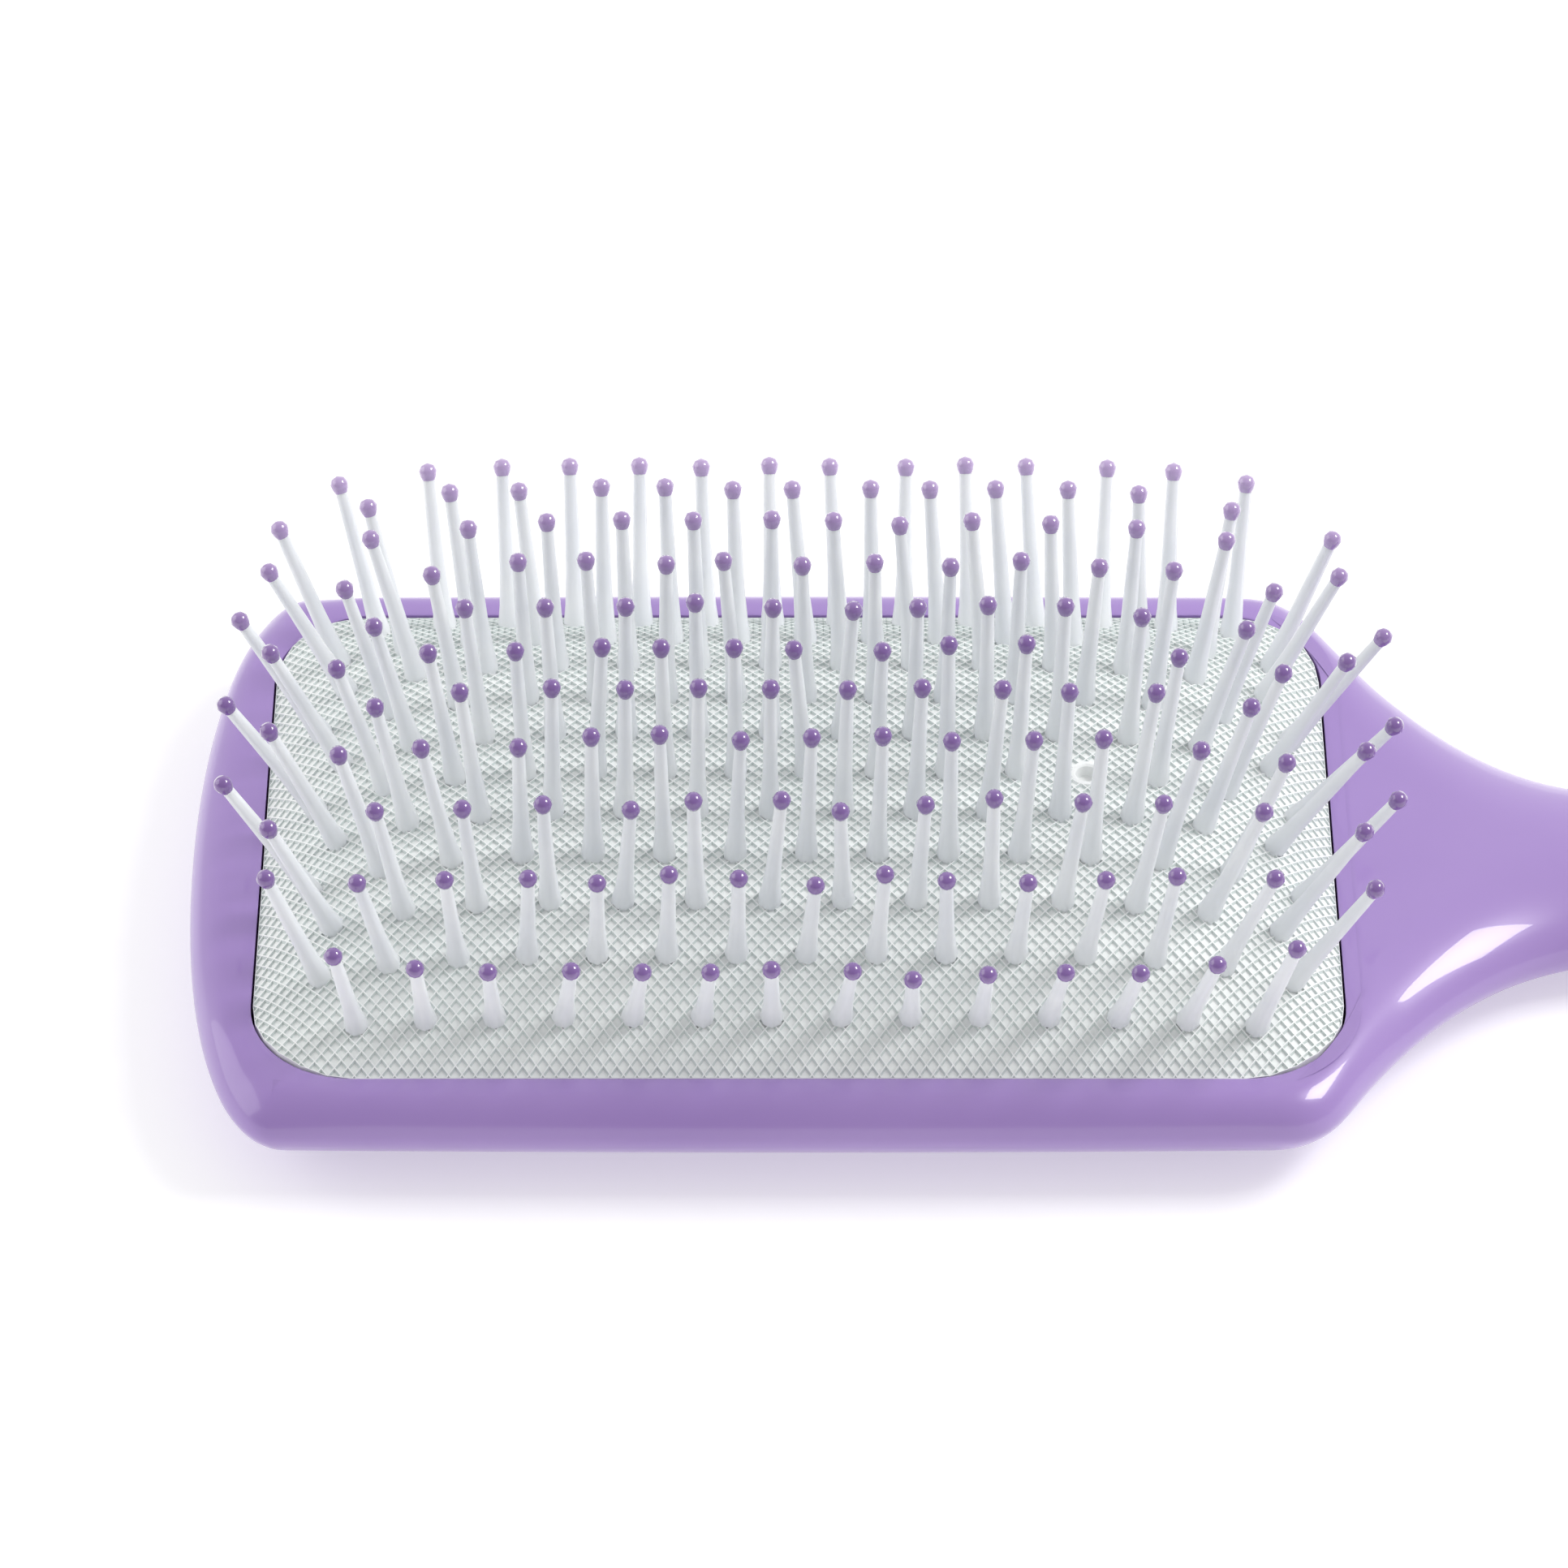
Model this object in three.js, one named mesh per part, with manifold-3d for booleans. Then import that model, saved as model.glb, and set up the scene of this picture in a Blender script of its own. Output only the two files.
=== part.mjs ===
// Paddle brush: a moulded head and handle, a rubber air cushion on a tray, and eleven
// staggered rows of ball-tipped nylon pins. Millimetres. +X runs from the head along the
// handle, +Z is the way the pins point, and the flat back of the head lies in z = 0.
import * as THREE from "three";
import Module from "manifold-3d";

// ---- driving dimensions -------------------------------------------------------------
const CLEARANCE = 0.35; // gap between pieces that touch on the real brush

const HEAD_LEFT_X = -62.5; // far left of the head
const HEAD_HALF_WIDTH = 40.1; // half the head's width at its widest
const SHOULDER_X = 48; // where the head's long sides end
const SHOULDER_LENGTH = 32; // from the head's sides to the neck
const NECK_HALF_WIDTH = 11.6;
const WAIST_HALF_WIDTH = 10.6; // narrowest place of the handle
const HANDLE_LENGTH = 105; // from the neck to the end
const HANDLE_END_RADIUS = 12; // how far from its end the handle starts to close
const RIM_Z = 11.4; // top of the frame round the cushion
const HANDLE_TOP_Z = 11.8;
const RIM_CROWN = 3.8; // how far the rim's rounded top falls to its widest level
const RIM_CROWN_WIDTH = 4.3; // width of that rounded top
const BACK_ROUND_WIDTH = 10.5; // width of the drawn-in edge on the back of the head
const BACK_ROUND_POWER = 1.6; // 2 rounds that edge like an ellipse, and 1 cuts it straight
const BACK_MIDDLE_REACH = 30; // the back draws in towards a middle line this long each way
const HANDLE_FLAT_SHARE = 0.16; // flat strip on the handle, as a share of its width

const RIM_SIDE = 5.1; // width of the rim along the head's sides
const RIM_END = 7.3; // and at its free end
const WINDOW_PAST_SHOULDER = 5.6; // how far the opening runs in between the shoulders
const WINDOW_CORNER = 10.5; // radius of the opening's corners
const FLOOR_Z = 3.9; // floor of the recess under the opening

const PAD_THICKNESS = 1.2;
const PAD_DOME = 9.7; // how high the cushion stands over its own edge
const PAD_EDGE_BELOW_RIM = 0.5;
const PAD_LIP_WIDTH = 3.2; // lip turned in under the tray
const PAD_LIP_THICKNESS = 1;
const DOME_POWER_X = 5.45; // how square the cushion's curve is along the brush
const DOME_POWER_Y = 3.1; // and across it
const VENT_RADIUS = 1.2;
const DOME_SHARES = [1, 0.94, 0.87, 0.78, 0.66, 0.5, 0.3, 0.06]; // rings of the dome, edge to middle
const DOME_SIDE_STEP = 17; // longest straight stretch of a ring

const TRAY_PLATE = 1.3;
const TRAY_WALL = 1.2;
const TRAY_WALL_HIGHEST = 1.2; // the raised wall round the tray, over its plate

const ROWS = 11;
const PINS_IN_ODD_ROW = 14;
const PINS_IN_EVEN_ROW = 15;
const ROW_MARGIN = 5.29; // from the opening's side to the outer rows
const PIN_MARGIN = 4.8; // from the opening's end to the last pins
const FIELD_SHIFT = 0.8; // of the pins towards the handle
const VENT_ROW = 6; // the vent takes one pin's place in this row
const VENT_PLACE = 12;
const ODD_ROW_SPREAD = 1.026; // the rows of fourteen stand a little wider apart
const EDGE_ROW_SQUEEZE = 0.94; // the outer rows are drawn in a little
const NEXT_ROW_SQUEEZE = 0.973;
const LEAN_GAIN_X = 0.957; // a pin's lean over the cushion's slope, along the brush
const LEAN_GAIN_Y = 1.02; // and across it
const FAR_ROW_LEAN = 0.0018; // radians to the left for each millimetre that a row lies back

const PIN_LENGTH = 17.4; // over the cushion
const PIN_BASE_RADIUS = 1.2;
const PIN_NECK_RADIUS = 0.62; // just under the ball
const BALL_RADIUS = 0.93;
const PIN_SIDES = 5;
const STRIP_WIDTH = 2; // nylon strip that joins the pins' feet under the cushion
const STRIP_THICKNESS = 0.8;

// ---- sizes that follow from them ----------------------------------------------------
const NECK_X = SHOULDER_X + SHOULDER_LENGTH;
const HANDLE_END_X = NECK_X + HANDLE_LENGTH;
const WINDOW_LEFT_X = HEAD_LEFT_X + RIM_END;
const WINDOW_RIGHT_X = SHOULDER_X + WINDOW_PAST_SHOULDER;
const WINDOW_CENTRE_X = (WINDOW_LEFT_X + WINDOW_RIGHT_X) / 2;
const WINDOW_HALF_LENGTH = (WINDOW_RIGHT_X - WINDOW_LEFT_X) / 2;
const WINDOW_HALF_WIDTH = HEAD_HALF_WIDTH - RIM_SIDE;
const ROW_PITCH = (2 * (WINDOW_HALF_WIDTH - ROW_MARGIN)) / (ROWS - 1);
const PIN_PITCH = (2 * (WINDOW_HALF_LENGTH - PIN_MARGIN)) / (PINS_IN_EVEN_ROW - 1);
const PAD_INSET = CLEARANCE; // from the opening's wall to the cushion's skirt
const PAD_BOTTOM_Z = FLOOR_Z + CLEARANCE;
const PAD_EDGE_Z = RIM_Z - PAD_EDGE_BELOW_RIM;
const LIP_TOP_Z = PAD_BOTTOM_Z + PAD_LIP_THICKNESS;
const TRAY_BOTTOM_Z = LIP_TOP_Z + CLEARANCE;
const TRAY_TOP_Z = TRAY_BOTTOM_Z + TRAY_PLATE;
const TRAY_WALL_HEIGHT = Math.min(
  TRAY_WALL_HIGHEST,
  PAD_EDGE_Z - PAD_THICKNESS - CLEARANCE - TRAY_TOP_Z, // stays under a low cushion
);
const TRAY_INSET = PAD_INSET + PAD_THICKNESS + CLEARANCE;
const PIN_HOLE_RADIUS = PIN_BASE_RADIUS / Math.cos(Math.PI / PIN_SIDES) + CLEARANCE;
const STRIP_DEPTH = PAD_THICKNESS + CLEARANCE + STRIP_THICKNESS / 2; // below the cushion's face

const wasm = await Module();
wasm.setup();

const MATERIALS = {
  frame_plastic: new THREE.MeshStandardMaterial({ color: 0xaf93ce, roughness: 0.2, metalness: 0 }),
  cushion_rubber: new THREE.MeshStandardMaterial({ color: 0xd7e1de, roughness: 0.8, metalness: 0 }),
  tray_plastic: new THREE.MeshStandardMaterial({ color: 0xe6e8ea, roughness: 0.5, metalness: 0 }),
  pin_nylon: new THREE.MeshStandardMaterial({ color: 0xe8ebec, roughness: 0.4, metalness: 0 }),
};

const brush = new THREE.Group();

function addPiece(name, solid, material) {
  const made = solid.getMesh();
  const geometry = new THREE.BufferGeometry();
  geometry.setAttribute("position", new THREE.BufferAttribute(made.vertProperties, made.numProp));
  geometry.setIndex(new THREE.BufferAttribute(made.triVerts, 1));
  geometry.computeVertexNormals();
  const mesh = new THREE.Mesh(geometry, MATERIALS[material]);
  mesh.name = name;
  brush.add(mesh);
}

// ---- building blocks ----------------------------------------------------------------

// A manifold solid from points [x, y, z] and triangles of their indices.
function solidOf(points, triangles) {
  return new wasm.Manifold(
    new wasm.Mesh({
      numProp: 3,
      vertProperties: new Float32Array(points.flat()),
      triVerts: new Uint32Array(triangles.flat()),
    }),
  );
}

// Two ways to close a ring: flat triangles inside any outline, or a fan round its centre.
function flatCap(ring, first) {
  const flat = ring.map((p) => new THREE.Vector2(p[0], p[1]));
  const triangles = THREE.ShapeUtils.triangulateShape(flat, []);
  return { extra: [], triangles: triangles.map((t) => t.map((i) => i + first)) };
}

function fanCap(ring, first, next) {
  const centre = [0, 1, 2].map((k) => ring.reduce((sum, p) => sum + p[k], 0) / ring.length);
  const triangles = ring.map((_, i) => [first + i, first + ((i + 1) % ring.length), next]);
  return { extra: [centre], triangles };
}

// Joins rings of equal length into one closed skin, from the lowest ring to the highest.
// Each ring runs counterclockwise seen from above.
function skinOf(rings, capOf = flatCap) {
  const count = rings[0].length;
  const points = rings.flat();
  const triangles = [];
  for (let r = 0; r + 1 < rings.length; r++) {
    for (let i = 0; i < count; i++) {
      const [a, b] = [r * count + i, r * count + ((i + 1) % count)];
      triangles.push([a, b, b + count], [a, b + count, a + count]);
    }
  }
  const bottom = capOf(rings[0], 0, points.length);
  points.push(...bottom.extra);
  triangles.push(...bottom.triangles.map(([a, b, c]) => [a, c, b]));
  const top = capOf(rings.at(-1), (rings.length - 1) * count, points.length);
  points.push(...top.extra);
  triangles.push(...top.triangles);
  return solidOf(points, triangles);
}

// The points of the opening's rounded rectangle, drawn in by an inset.
function windowOutline(inset, perCorner = 6) {
  const radius = Math.max(WINDOW_CORNER - inset, 1);
  const reachX = WINDOW_HALF_LENGTH - inset - radius;
  const reachY = WINDOW_HALF_WIDTH - inset - radius;
  const corners = [
    [1, -1, -Math.PI / 2],
    [1, 1, 0],
    [-1, 1, Math.PI / 2],
    [-1, -1, Math.PI],
  ];
  return corners.flatMap(([sx, sy, start]) =>
    Array.from({ length: perCorner }, (_, i) => {
      const angle = start + ((Math.PI / 2) * i) / (perCorner - 1);
      return [
        WINDOW_CENTRE_X + sx * reachX + radius * Math.cos(angle),
        sy * reachY + radius * Math.sin(angle),
      ];
    }),
  );
}

function windowPrism(inset, bottom, top) {
  const outline = windowOutline(inset);
  return skinOf([bottom, top].map((z) => outline.map(([x, y]) => [x, y, z])));
}

// ---- the cushion's curve, which the pins follow -------------------------------------

function domeAt(x, y) {
  const u = Math.min(Math.abs(x - WINDOW_CENTRE_X) / WINDOW_HALF_LENGTH, 1);
  const v = Math.min(Math.abs(y) / WINDOW_HALF_WIDTH, 1);
  return PAD_DOME * (1 - u ** DOME_POWER_X) * (1 - v ** DOME_POWER_Y);
}

function slopeAt(x, y) {
  const step = 0.05;
  return [
    (domeAt(x + step, y) - domeAt(x - step, y)) / (2 * step),
    (domeAt(x, y + step) - domeAt(x, y - step)) / (2 * step),
  ];
}

// Where each pin of a row leaves the cushion, and the way it points.
function pinsOfRow(row) {
  const count = row % 2 ? PINS_IN_ODD_ROW : PINS_IN_EVEN_ROW;
  const fromEdge = Math.min(row - 1, ROWS - row);
  const squeeze = [EDGE_ROW_SQUEEZE, NEXT_ROW_SQUEEZE][fromEdge] ?? 1;
  const spread = squeeze * (row % 2 ? ODD_ROW_SPREAD : 1);
  const y = (row - (ROWS + 1) / 2) * ROW_PITCH;
  return Array.from({ length: count }, (_, i) => {
    const fromMiddle = (i - (count - 1) / 2) * PIN_PITCH * spread;
    const x = WINDOW_CENTRE_X + FIELD_SHIFT + fromMiddle;
    const [slopeX, slopeY] = slopeAt(x, y);
    const leanX = Math.tan(Math.atan(slopeX) * LEAN_GAIN_X + FAR_ROW_LEAN * y);
    const leanY = Math.tan(Math.atan(slopeY) * LEAN_GAIN_Y);
    return {
      foot: new THREE.Vector3(x, y, PAD_EDGE_Z + domeAt(x, y)),
      way: new THREE.Vector3(-leanX, -leanY, 1).normalize(),
      place: i + 1,
    };
  });
}

const isVent = (row, pin) => row === VENT_ROW && pin.place === VENT_PLACE;

// A turned shape on a pin's own axis: profile points are [radius, distance over the cushion].
function turnedOn(pin, profile, sides) {
  const turned = new THREE.LatheGeometry(
    profile.map(([r, s]) => new THREE.Vector2(r, s)),
    sides,
  );
  const along = new THREE.Quaternion().setFromUnitVectors(new THREE.Vector3(0, 1, 0), pin.way);
  turned.applyQuaternion(along).translate(...pin.foot.toArray());
  // The lathe repeats its seam and the ends on the axis, so its points are merged by place.
  const at = turned.getAttribute("position");
  const places = new Map();
  const points = [];
  const merged = Array.from({ length: at.count }, (_, i) => {
    const point = [at.getX(i), at.getY(i), at.getZ(i)];
    const key = point.map((v) => Math.round(v * 1e4)).join();
    if (!places.has(key)) places.set(key, points.push(point) - 1);
    return places.get(key);
  });
  const corners = Array.from(turned.index.array, (i) => merged[i]);
  const triangles = [];
  for (let i = 0; i < corners.length; i += 3) {
    const [a, b, c] = corners.slice(i, i + 3);
    if (a !== b && b !== c && c !== a) triangles.push([a, b, c]);
  }
  return solidOf(points, triangles);
}

// ---- head and handle, one moulding ---------------------------------------------------

// The far half of the outline, from the left end of the head to the end of the handle.
function halfOutline() {
  const path = new THREE.Path();
  path.moveTo(HEAD_LEFT_X, 0);
  path.bezierCurveTo(
    HEAD_LEFT_X,
    0.58 * HEAD_HALF_WIDTH,
    HEAD_LEFT_X + 4.2,
    HEAD_HALF_WIDTH - 0.4,
    HEAD_LEFT_X + 10,
    HEAD_HALF_WIDTH - 0.3,
  );
  path.quadraticCurveTo(0, HEAD_HALF_WIDTH + 0.3, SHOULDER_X - 1.5, HEAD_HALF_WIDTH - 0.3);
  path.bezierCurveTo(
    SHOULDER_X + 3.6,
    HEAD_HALF_WIDTH - 0.4,
    SHOULDER_X + 5,
    HEAD_HALF_WIDTH - 3.6,
    SHOULDER_X + 7.2,
    HEAD_HALF_WIDTH - 7.1,
  );
  path.bezierCurveTo(
    SHOULDER_X + 12.2,
    HEAD_HALF_WIDTH - 15,
    NECK_X - 11,
    NECK_HALF_WIDTH + 1.9,
    NECK_X,
    NECK_HALF_WIDTH,
  );
  path.bezierCurveTo(
    NECK_X + 12,
    WAIST_HALF_WIDTH - 1.3,
    NECK_X + 24,
    WAIST_HALF_WIDTH - 0.7,
    NECK_X + 40,
    WAIST_HALF_WIDTH + 0.6,
  );
  path.bezierCurveTo(
    NECK_X + 56,
    WAIST_HALF_WIDTH + 1.9,
    HANDLE_END_X,
    WAIST_HALF_WIDTH + 4.2,
    HANDLE_END_X,
    0,
  );
  return path.getSpacedPoints(48);
}

// The outline as one loop, counterclockwise, with the inward normal at each point.
function bodyOutline() {
  const far = halfOutline();
  const near = far.slice(1, -1).map((p) => new THREE.Vector2(p.x, -p.y));
  const loop = [...near, ...far.toReversed()];
  return loop.map((p, i) => {
    const ahead = loop[(i + 1) % loop.length];
    const behind = loop[(i + loop.length - 1) % loop.length];
    const way = ahead.clone().sub(behind).normalize();
    return { x: p.x, y: p.y, inX: -way.y, inY: way.x };
  });
}

// The rim is rounded over a set width, the head's back draws in towards its middle line,
// and the handle is rounded towards its own centre line.
function makeBody() {
  const outline = bodyOutline();
  const mix = THREE.MathUtils.lerp;
  const ringAt = (angle, upper) =>
    outline.map(({ x, y, inX, inY }) => {
      const h = THREE.MathUtils.smoothstep(x, SHOULDER_X, NECK_X);
      const backShare = BACK_ROUND_WIDTH / HEAD_HALF_WIDTH;
      const middleX = THREE.MathUtils.clamp(x, -BACK_MIDDLE_REACH, BACK_MIDDLE_REACH);
      const headX = upper ? inX * RIM_CROWN_WIDTH : (middleX - x) * backShare;
      const headY = upper ? inY * RIM_CROWN_WIDTH : -y * backShare;
      const spineX = Math.min(x, HANDLE_END_X - HANDLE_END_RADIUS);
      const share = 1 - HANDLE_FLAT_SHARE;
      const bend = upper ? 1 : mix(2 / BACK_ROUND_POWER, 1, h);
      const inward = 1 - Math.cos(angle) ** bend;
      const rise = Math.sin(angle) ** bend;
      const top = mix(RIM_Z, HANDLE_TOP_Z, h);
      const widest = mix(RIM_Z - RIM_CROWN, HANDLE_TOP_Z / 2, h);
      return [
        x + inward * mix(headX, (spineX - x) * share, h),
        y + inward * mix(headY, -y * share, h),
        upper ? widest + (top - widest) * rise : widest * (1 - rise),
      ];
    });
  const steps = [30, 60, 90].map(THREE.MathUtils.degToRad);
  const rings = [
    ...steps.toReversed().map((a) => ringAt(a, false)),
    ringAt(0, true),
    ...steps.map((a) => ringAt(a, true)),
  ];
  const recess = windowPrism(0, FLOOR_Z, RIM_Z + 5);
  return skinOf(rings).subtract(recess);
}

// ---- rubber cushion ------------------------------------------------------------------

// The opening's outline with extra points along its straight sides, for the dome to bend at.
function domeOutline(inset) {
  const corners = windowOutline(inset, 5);
  return corners.flatMap(([x, y], i) => {
    const [nextX, nextY] = corners[(i + 1) % corners.length];
    const parts = Math.ceil(Math.hypot(nextX - x, nextY - y) / DOME_SIDE_STEP);
    return Array.from({ length: parts }, (_, k) => [
      x + ((nextX - x) * k) / parts,
      y + ((nextY - y) * k) / parts,
    ]);
  });
}

// A closed dome over the opening: flat underneath at bottom, and curved on top.
function domeSolid(inset, bottom, drop) {
  const outline = domeOutline(inset);
  const ringAt = (share, z) =>
    outline.map(([x, y]) => {
      const px = WINDOW_CENTRE_X + (x - WINDOW_CENTRE_X) * share;
      const py = y * share;
      return [px, py, z ?? PAD_EDGE_Z - drop + domeAt(px, py) * (share < 1 ? 1 : 0)];
    });
  return skinOf([ringAt(1, bottom), ...DOME_SHARES.map((s) => ringAt(s))], fanCap);
}

function makePad() {
  const outer = domeSolid(PAD_INSET, PAD_BOTTOM_Z, 0);
  const hollow = domeSolid(PAD_INSET + PAD_THICKNESS, LIP_TOP_Z, PAD_THICKNESS);
  const mouth = windowPrism(PAD_INSET + PAD_LIP_WIDTH, PAD_BOTTOM_Z - 1, LIP_TOP_Z + 1);
  let pad = outer.subtract(hollow).subtract(mouth);
  for (let row = 1; row <= ROWS; row++) {
    for (const pin of pinsOfRow(row)) {
      const radius = isVent(row, pin) ? VENT_RADIUS : PIN_HOLE_RADIUS;
      const deep = -PAD_THICKNESS * 2.5;
      const profile = [[0, deep], [radius, deep], [radius, 3], [0, 3]];
      pad = pad.subtract(turnedOn(pin, profile, PIN_SIDES));
    }
  }
  return pad;
}

// ---- tray that the cushion's lip is stretched over -----------------------------------

function makeTray() {
  const block = windowPrism(TRAY_INSET, TRAY_BOTTOM_Z, TRAY_TOP_Z + TRAY_WALL_HEIGHT);
  const inside = windowPrism(TRAY_INSET + TRAY_WALL, TRAY_TOP_Z, TRAY_TOP_Z + TRAY_WALL_HEIGHT + 1);
  return block.subtract(inside);
}

// ---- pins ----------------------------------------------------------------------------

const PIN_PROFILE = [
  [0, -STRIP_DEPTH],
  [PIN_BASE_RADIUS * 0.9, -STRIP_DEPTH],
  [PIN_BASE_RADIUS, 0.2],
  [PIN_NECK_RADIUS, PIN_LENGTH - BALL_RADIUS * 1.9],
  [BALL_RADIUS, PIN_LENGTH - BALL_RADIUS],
  [0, PIN_LENGTH],
];

// The flat strip under the cushion that joins the feet of neighbouring pins.
function stripUnder(pins) {
  const stations = pins.map((pin) => pin.foot.clone().addScaledVector(pin.way, -STRIP_DEPTH));
  const extend = (end, next) =>
    end.clone().add(end.clone().sub(next).setLength(PIN_BASE_RADIUS));
  const centres = [
    extend(stations[0], stations[1]),
    ...stations.slice(1, -1),
    extend(stations.at(-1), stations.at(-2)),
  ];
  const lean = pins[Math.floor(pins.length / 2)].way.y;
  const thick = new THREE.Vector3(0, lean, 1).setLength(STRIP_THICKNESS / 2);
  const wide = new THREE.Vector3(0, 1, -lean).setLength(STRIP_WIDTH / 2);
  const signs = [[1, 1], [-1, 1], [-1, -1], [1, -1]];
  const points = centres.flatMap((c) =>
    signs.map(([a, b]) => c.clone().addScaledVector(wide, a).addScaledVector(thick, b).toArray()),
  );
  const triangles = [[0, 3, 2], [0, 2, 1]];
  for (let k = 0; k + 1 < centres.length; k++) {
    for (let i = 0; i < 4; i++) {
      const [a, b] = [k * 4 + i, k * 4 + ((i + 1) % 4)];
      triangles.push([a, b, b + 4], [a, b + 4, a + 4]);
    }
  }
  const last = (centres.length - 1) * 4;
  triangles.push([last, last + 1, last + 2], [last, last + 2, last + 3]);
  return solidOf(points, triangles);
}

function makePinStrip(pins) {
  let strip = stripUnder(pins);
  for (const pin of pins) strip = strip.add(turnedOn(pin, PIN_PROFILE, PIN_SIDES));
  return strip;
}

// ---- assembly ------------------------------------------------------------------------

addPiece("body_frame_and_handle", makeBody(), "frame_plastic");
addPiece("cushion_pad", makePad(), "cushion_rubber");
addPiece("cushion_tray", makeTray(), "tray_plastic");
for (let row = 1; row <= ROWS; row++) {
  const pins = pinsOfRow(row);
  const cut = row === VENT_ROW ? VENT_PLACE : Math.ceil(pins.length / 2) + 1;
  const number = String(row).padStart(2, "0");
  const left = pins.filter((pin) => pin.place < cut);
  const right = pins.filter((pin) => pin.place >= cut && !isVent(row, pin));
  addPiece(`pin_row_${number}_left`, makePinStrip(left), "pin_nylon");
  addPiece(`pin_row_${number}_right`, makePinStrip(right), "pin_nylon");
}

export default brush;
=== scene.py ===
# %% [markdown]
# # A paddle brush, lying on its back
# A paddle brush has four kinds of piece: a glossy moulding that is both the frame of the head
# and the handle, a domed rubber cushion with a fine net on its face, a tray that holds the
# cushion in the head, and nylon pins with dipped ball tips. The fixed frame gives the places
# and the motion, and this lesson makes the looks: every visible shape is modelled with bmesh
# operators, and every finish is a small node tree.

# %% Load the frame and keep its box
import math
import random

import bmesh
import bpy
from mathutils import Matrix, Vector
from mathutils.geometry import interpolate_bezier


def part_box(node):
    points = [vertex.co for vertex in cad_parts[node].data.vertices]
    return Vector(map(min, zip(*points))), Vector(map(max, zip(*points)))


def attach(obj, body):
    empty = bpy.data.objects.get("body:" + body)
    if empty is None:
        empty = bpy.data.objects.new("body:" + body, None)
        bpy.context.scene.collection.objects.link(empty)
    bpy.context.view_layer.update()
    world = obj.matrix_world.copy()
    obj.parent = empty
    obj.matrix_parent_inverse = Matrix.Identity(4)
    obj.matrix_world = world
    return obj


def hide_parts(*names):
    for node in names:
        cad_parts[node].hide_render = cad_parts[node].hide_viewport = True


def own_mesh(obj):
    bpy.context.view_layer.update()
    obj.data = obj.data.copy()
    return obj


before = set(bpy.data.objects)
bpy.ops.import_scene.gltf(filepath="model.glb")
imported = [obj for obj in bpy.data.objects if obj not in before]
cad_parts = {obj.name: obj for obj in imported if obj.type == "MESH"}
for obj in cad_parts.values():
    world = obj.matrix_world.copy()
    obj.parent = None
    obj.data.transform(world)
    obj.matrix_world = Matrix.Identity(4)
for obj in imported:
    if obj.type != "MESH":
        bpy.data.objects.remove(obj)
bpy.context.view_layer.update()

MM = 0.001
body_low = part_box("body_frame_and_handle")[0]
pad_low, pad_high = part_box("cushion_pad")

# %% [markdown]
# ## The camera
# It looks along +Y and down at the brush from a little over forty degrees, through a long
# lens, so the rows of pins keep nearly the same scale from front to back. The handle runs out
# of the picture on the right.

# %% Camera
VIEW_DOWN = math.radians(41.86)
VIEW_DISTANCE = 0.8
VIEW_POINT = Vector((-2.23, 11.61, 8.4)) * MM
LENS = 178.3

camera_data = bpy.data.cameras.new("camera")
camera_data.sensor_width = 36
camera_data.lens = LENS
camera_data.clip_start = 0.01
camera_data.clip_end = 20
camera = bpy.data.objects.new("camera", camera_data)
bpy.context.scene.collection.objects.link(camera)
back = Vector((0, -math.cos(VIEW_DOWN), math.sin(VIEW_DOWN)))
camera.location = VIEW_POINT + back * VIEW_DISTANCE
camera.rotation_euler = (math.pi / 2 - VIEW_DOWN, 0, 0)
bpy.context.scene.camera = camera
print("lens:", LENS, "mm, at", [round(v, 3) for v in camera.location])

# %% [markdown]
# ## Small helpers
# A piece is a bmesh that becomes an object at the origin, with its place in its mesh. A finish
# is a node tree, and `add_node`, `add_noise`, `add_ramp` and `add_bump` keep the trees short.

# %% Helpers for pieces
def finish_piece(name, bm, material, smooth_angle=math.radians(50)):
    """Turns a bmesh into a smooth-shaded object with one material."""
    mesh = bpy.data.meshes.new(name)
    bm.to_mesh(mesh)
    bm.free()
    mesh.materials.append(material)
    for face in mesh.polygons:
        face.use_smooth = True
    mesh.set_sharp_from_angle(angle=smooth_angle)
    piece = bpy.data.objects.new(name, mesh)
    bpy.context.scene.collection.objects.link(piece)
    print(name, "has", len(mesh.polygons), "faces")
    return piece


def only(geometry, kind):
    """The verts, edges or faces among an operator's results."""
    return [item for item in geometry if isinstance(item, kind)]


# %% Helpers for finishes
def new_finish(name):
    """A material and its tree, with the plain shader that it starts from."""
    material = bpy.data.materials.new(name)
    material.use_nodes = True
    tree = material.node_tree
    return material, tree, tree.nodes["Principled BSDF"]


def add_node(tree, kind, **values):
    """Adds a node, and sets its properties or the sockets that are named."""
    node = tree.nodes.new(kind)
    for key, value in values.items():
        if key in node.inputs:
            node.inputs[key].default_value = value
        else:
            setattr(node, key, value)
    return node


def add_noise(tree, scale, detail=2.0):
    """Noise on the piece's own coordinates."""
    coordinates = add_node(tree, "ShaderNodeTexCoord")
    noise = add_node(tree, "ShaderNodeTexNoise", Scale=scale, Detail=detail)
    tree.links.new(coordinates.outputs["Object"], noise.inputs["Vector"])
    return noise


def add_ramp(tree, fac, stops):
    """A colour ramp driven by a socket, with (place, colour) stops."""
    ramp = add_node(tree, "ShaderNodeValToRGB")
    tree.links.new(fac, ramp.inputs["Fac"])
    while len(ramp.color_ramp.elements) < len(stops):
        ramp.color_ramp.elements.new(0.5)
    for element, (place, colour) in zip(ramp.color_ramp.elements, stops):
        element.position = place
        element.color = (*colour, 1)
    return ramp.outputs["Color"]


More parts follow.
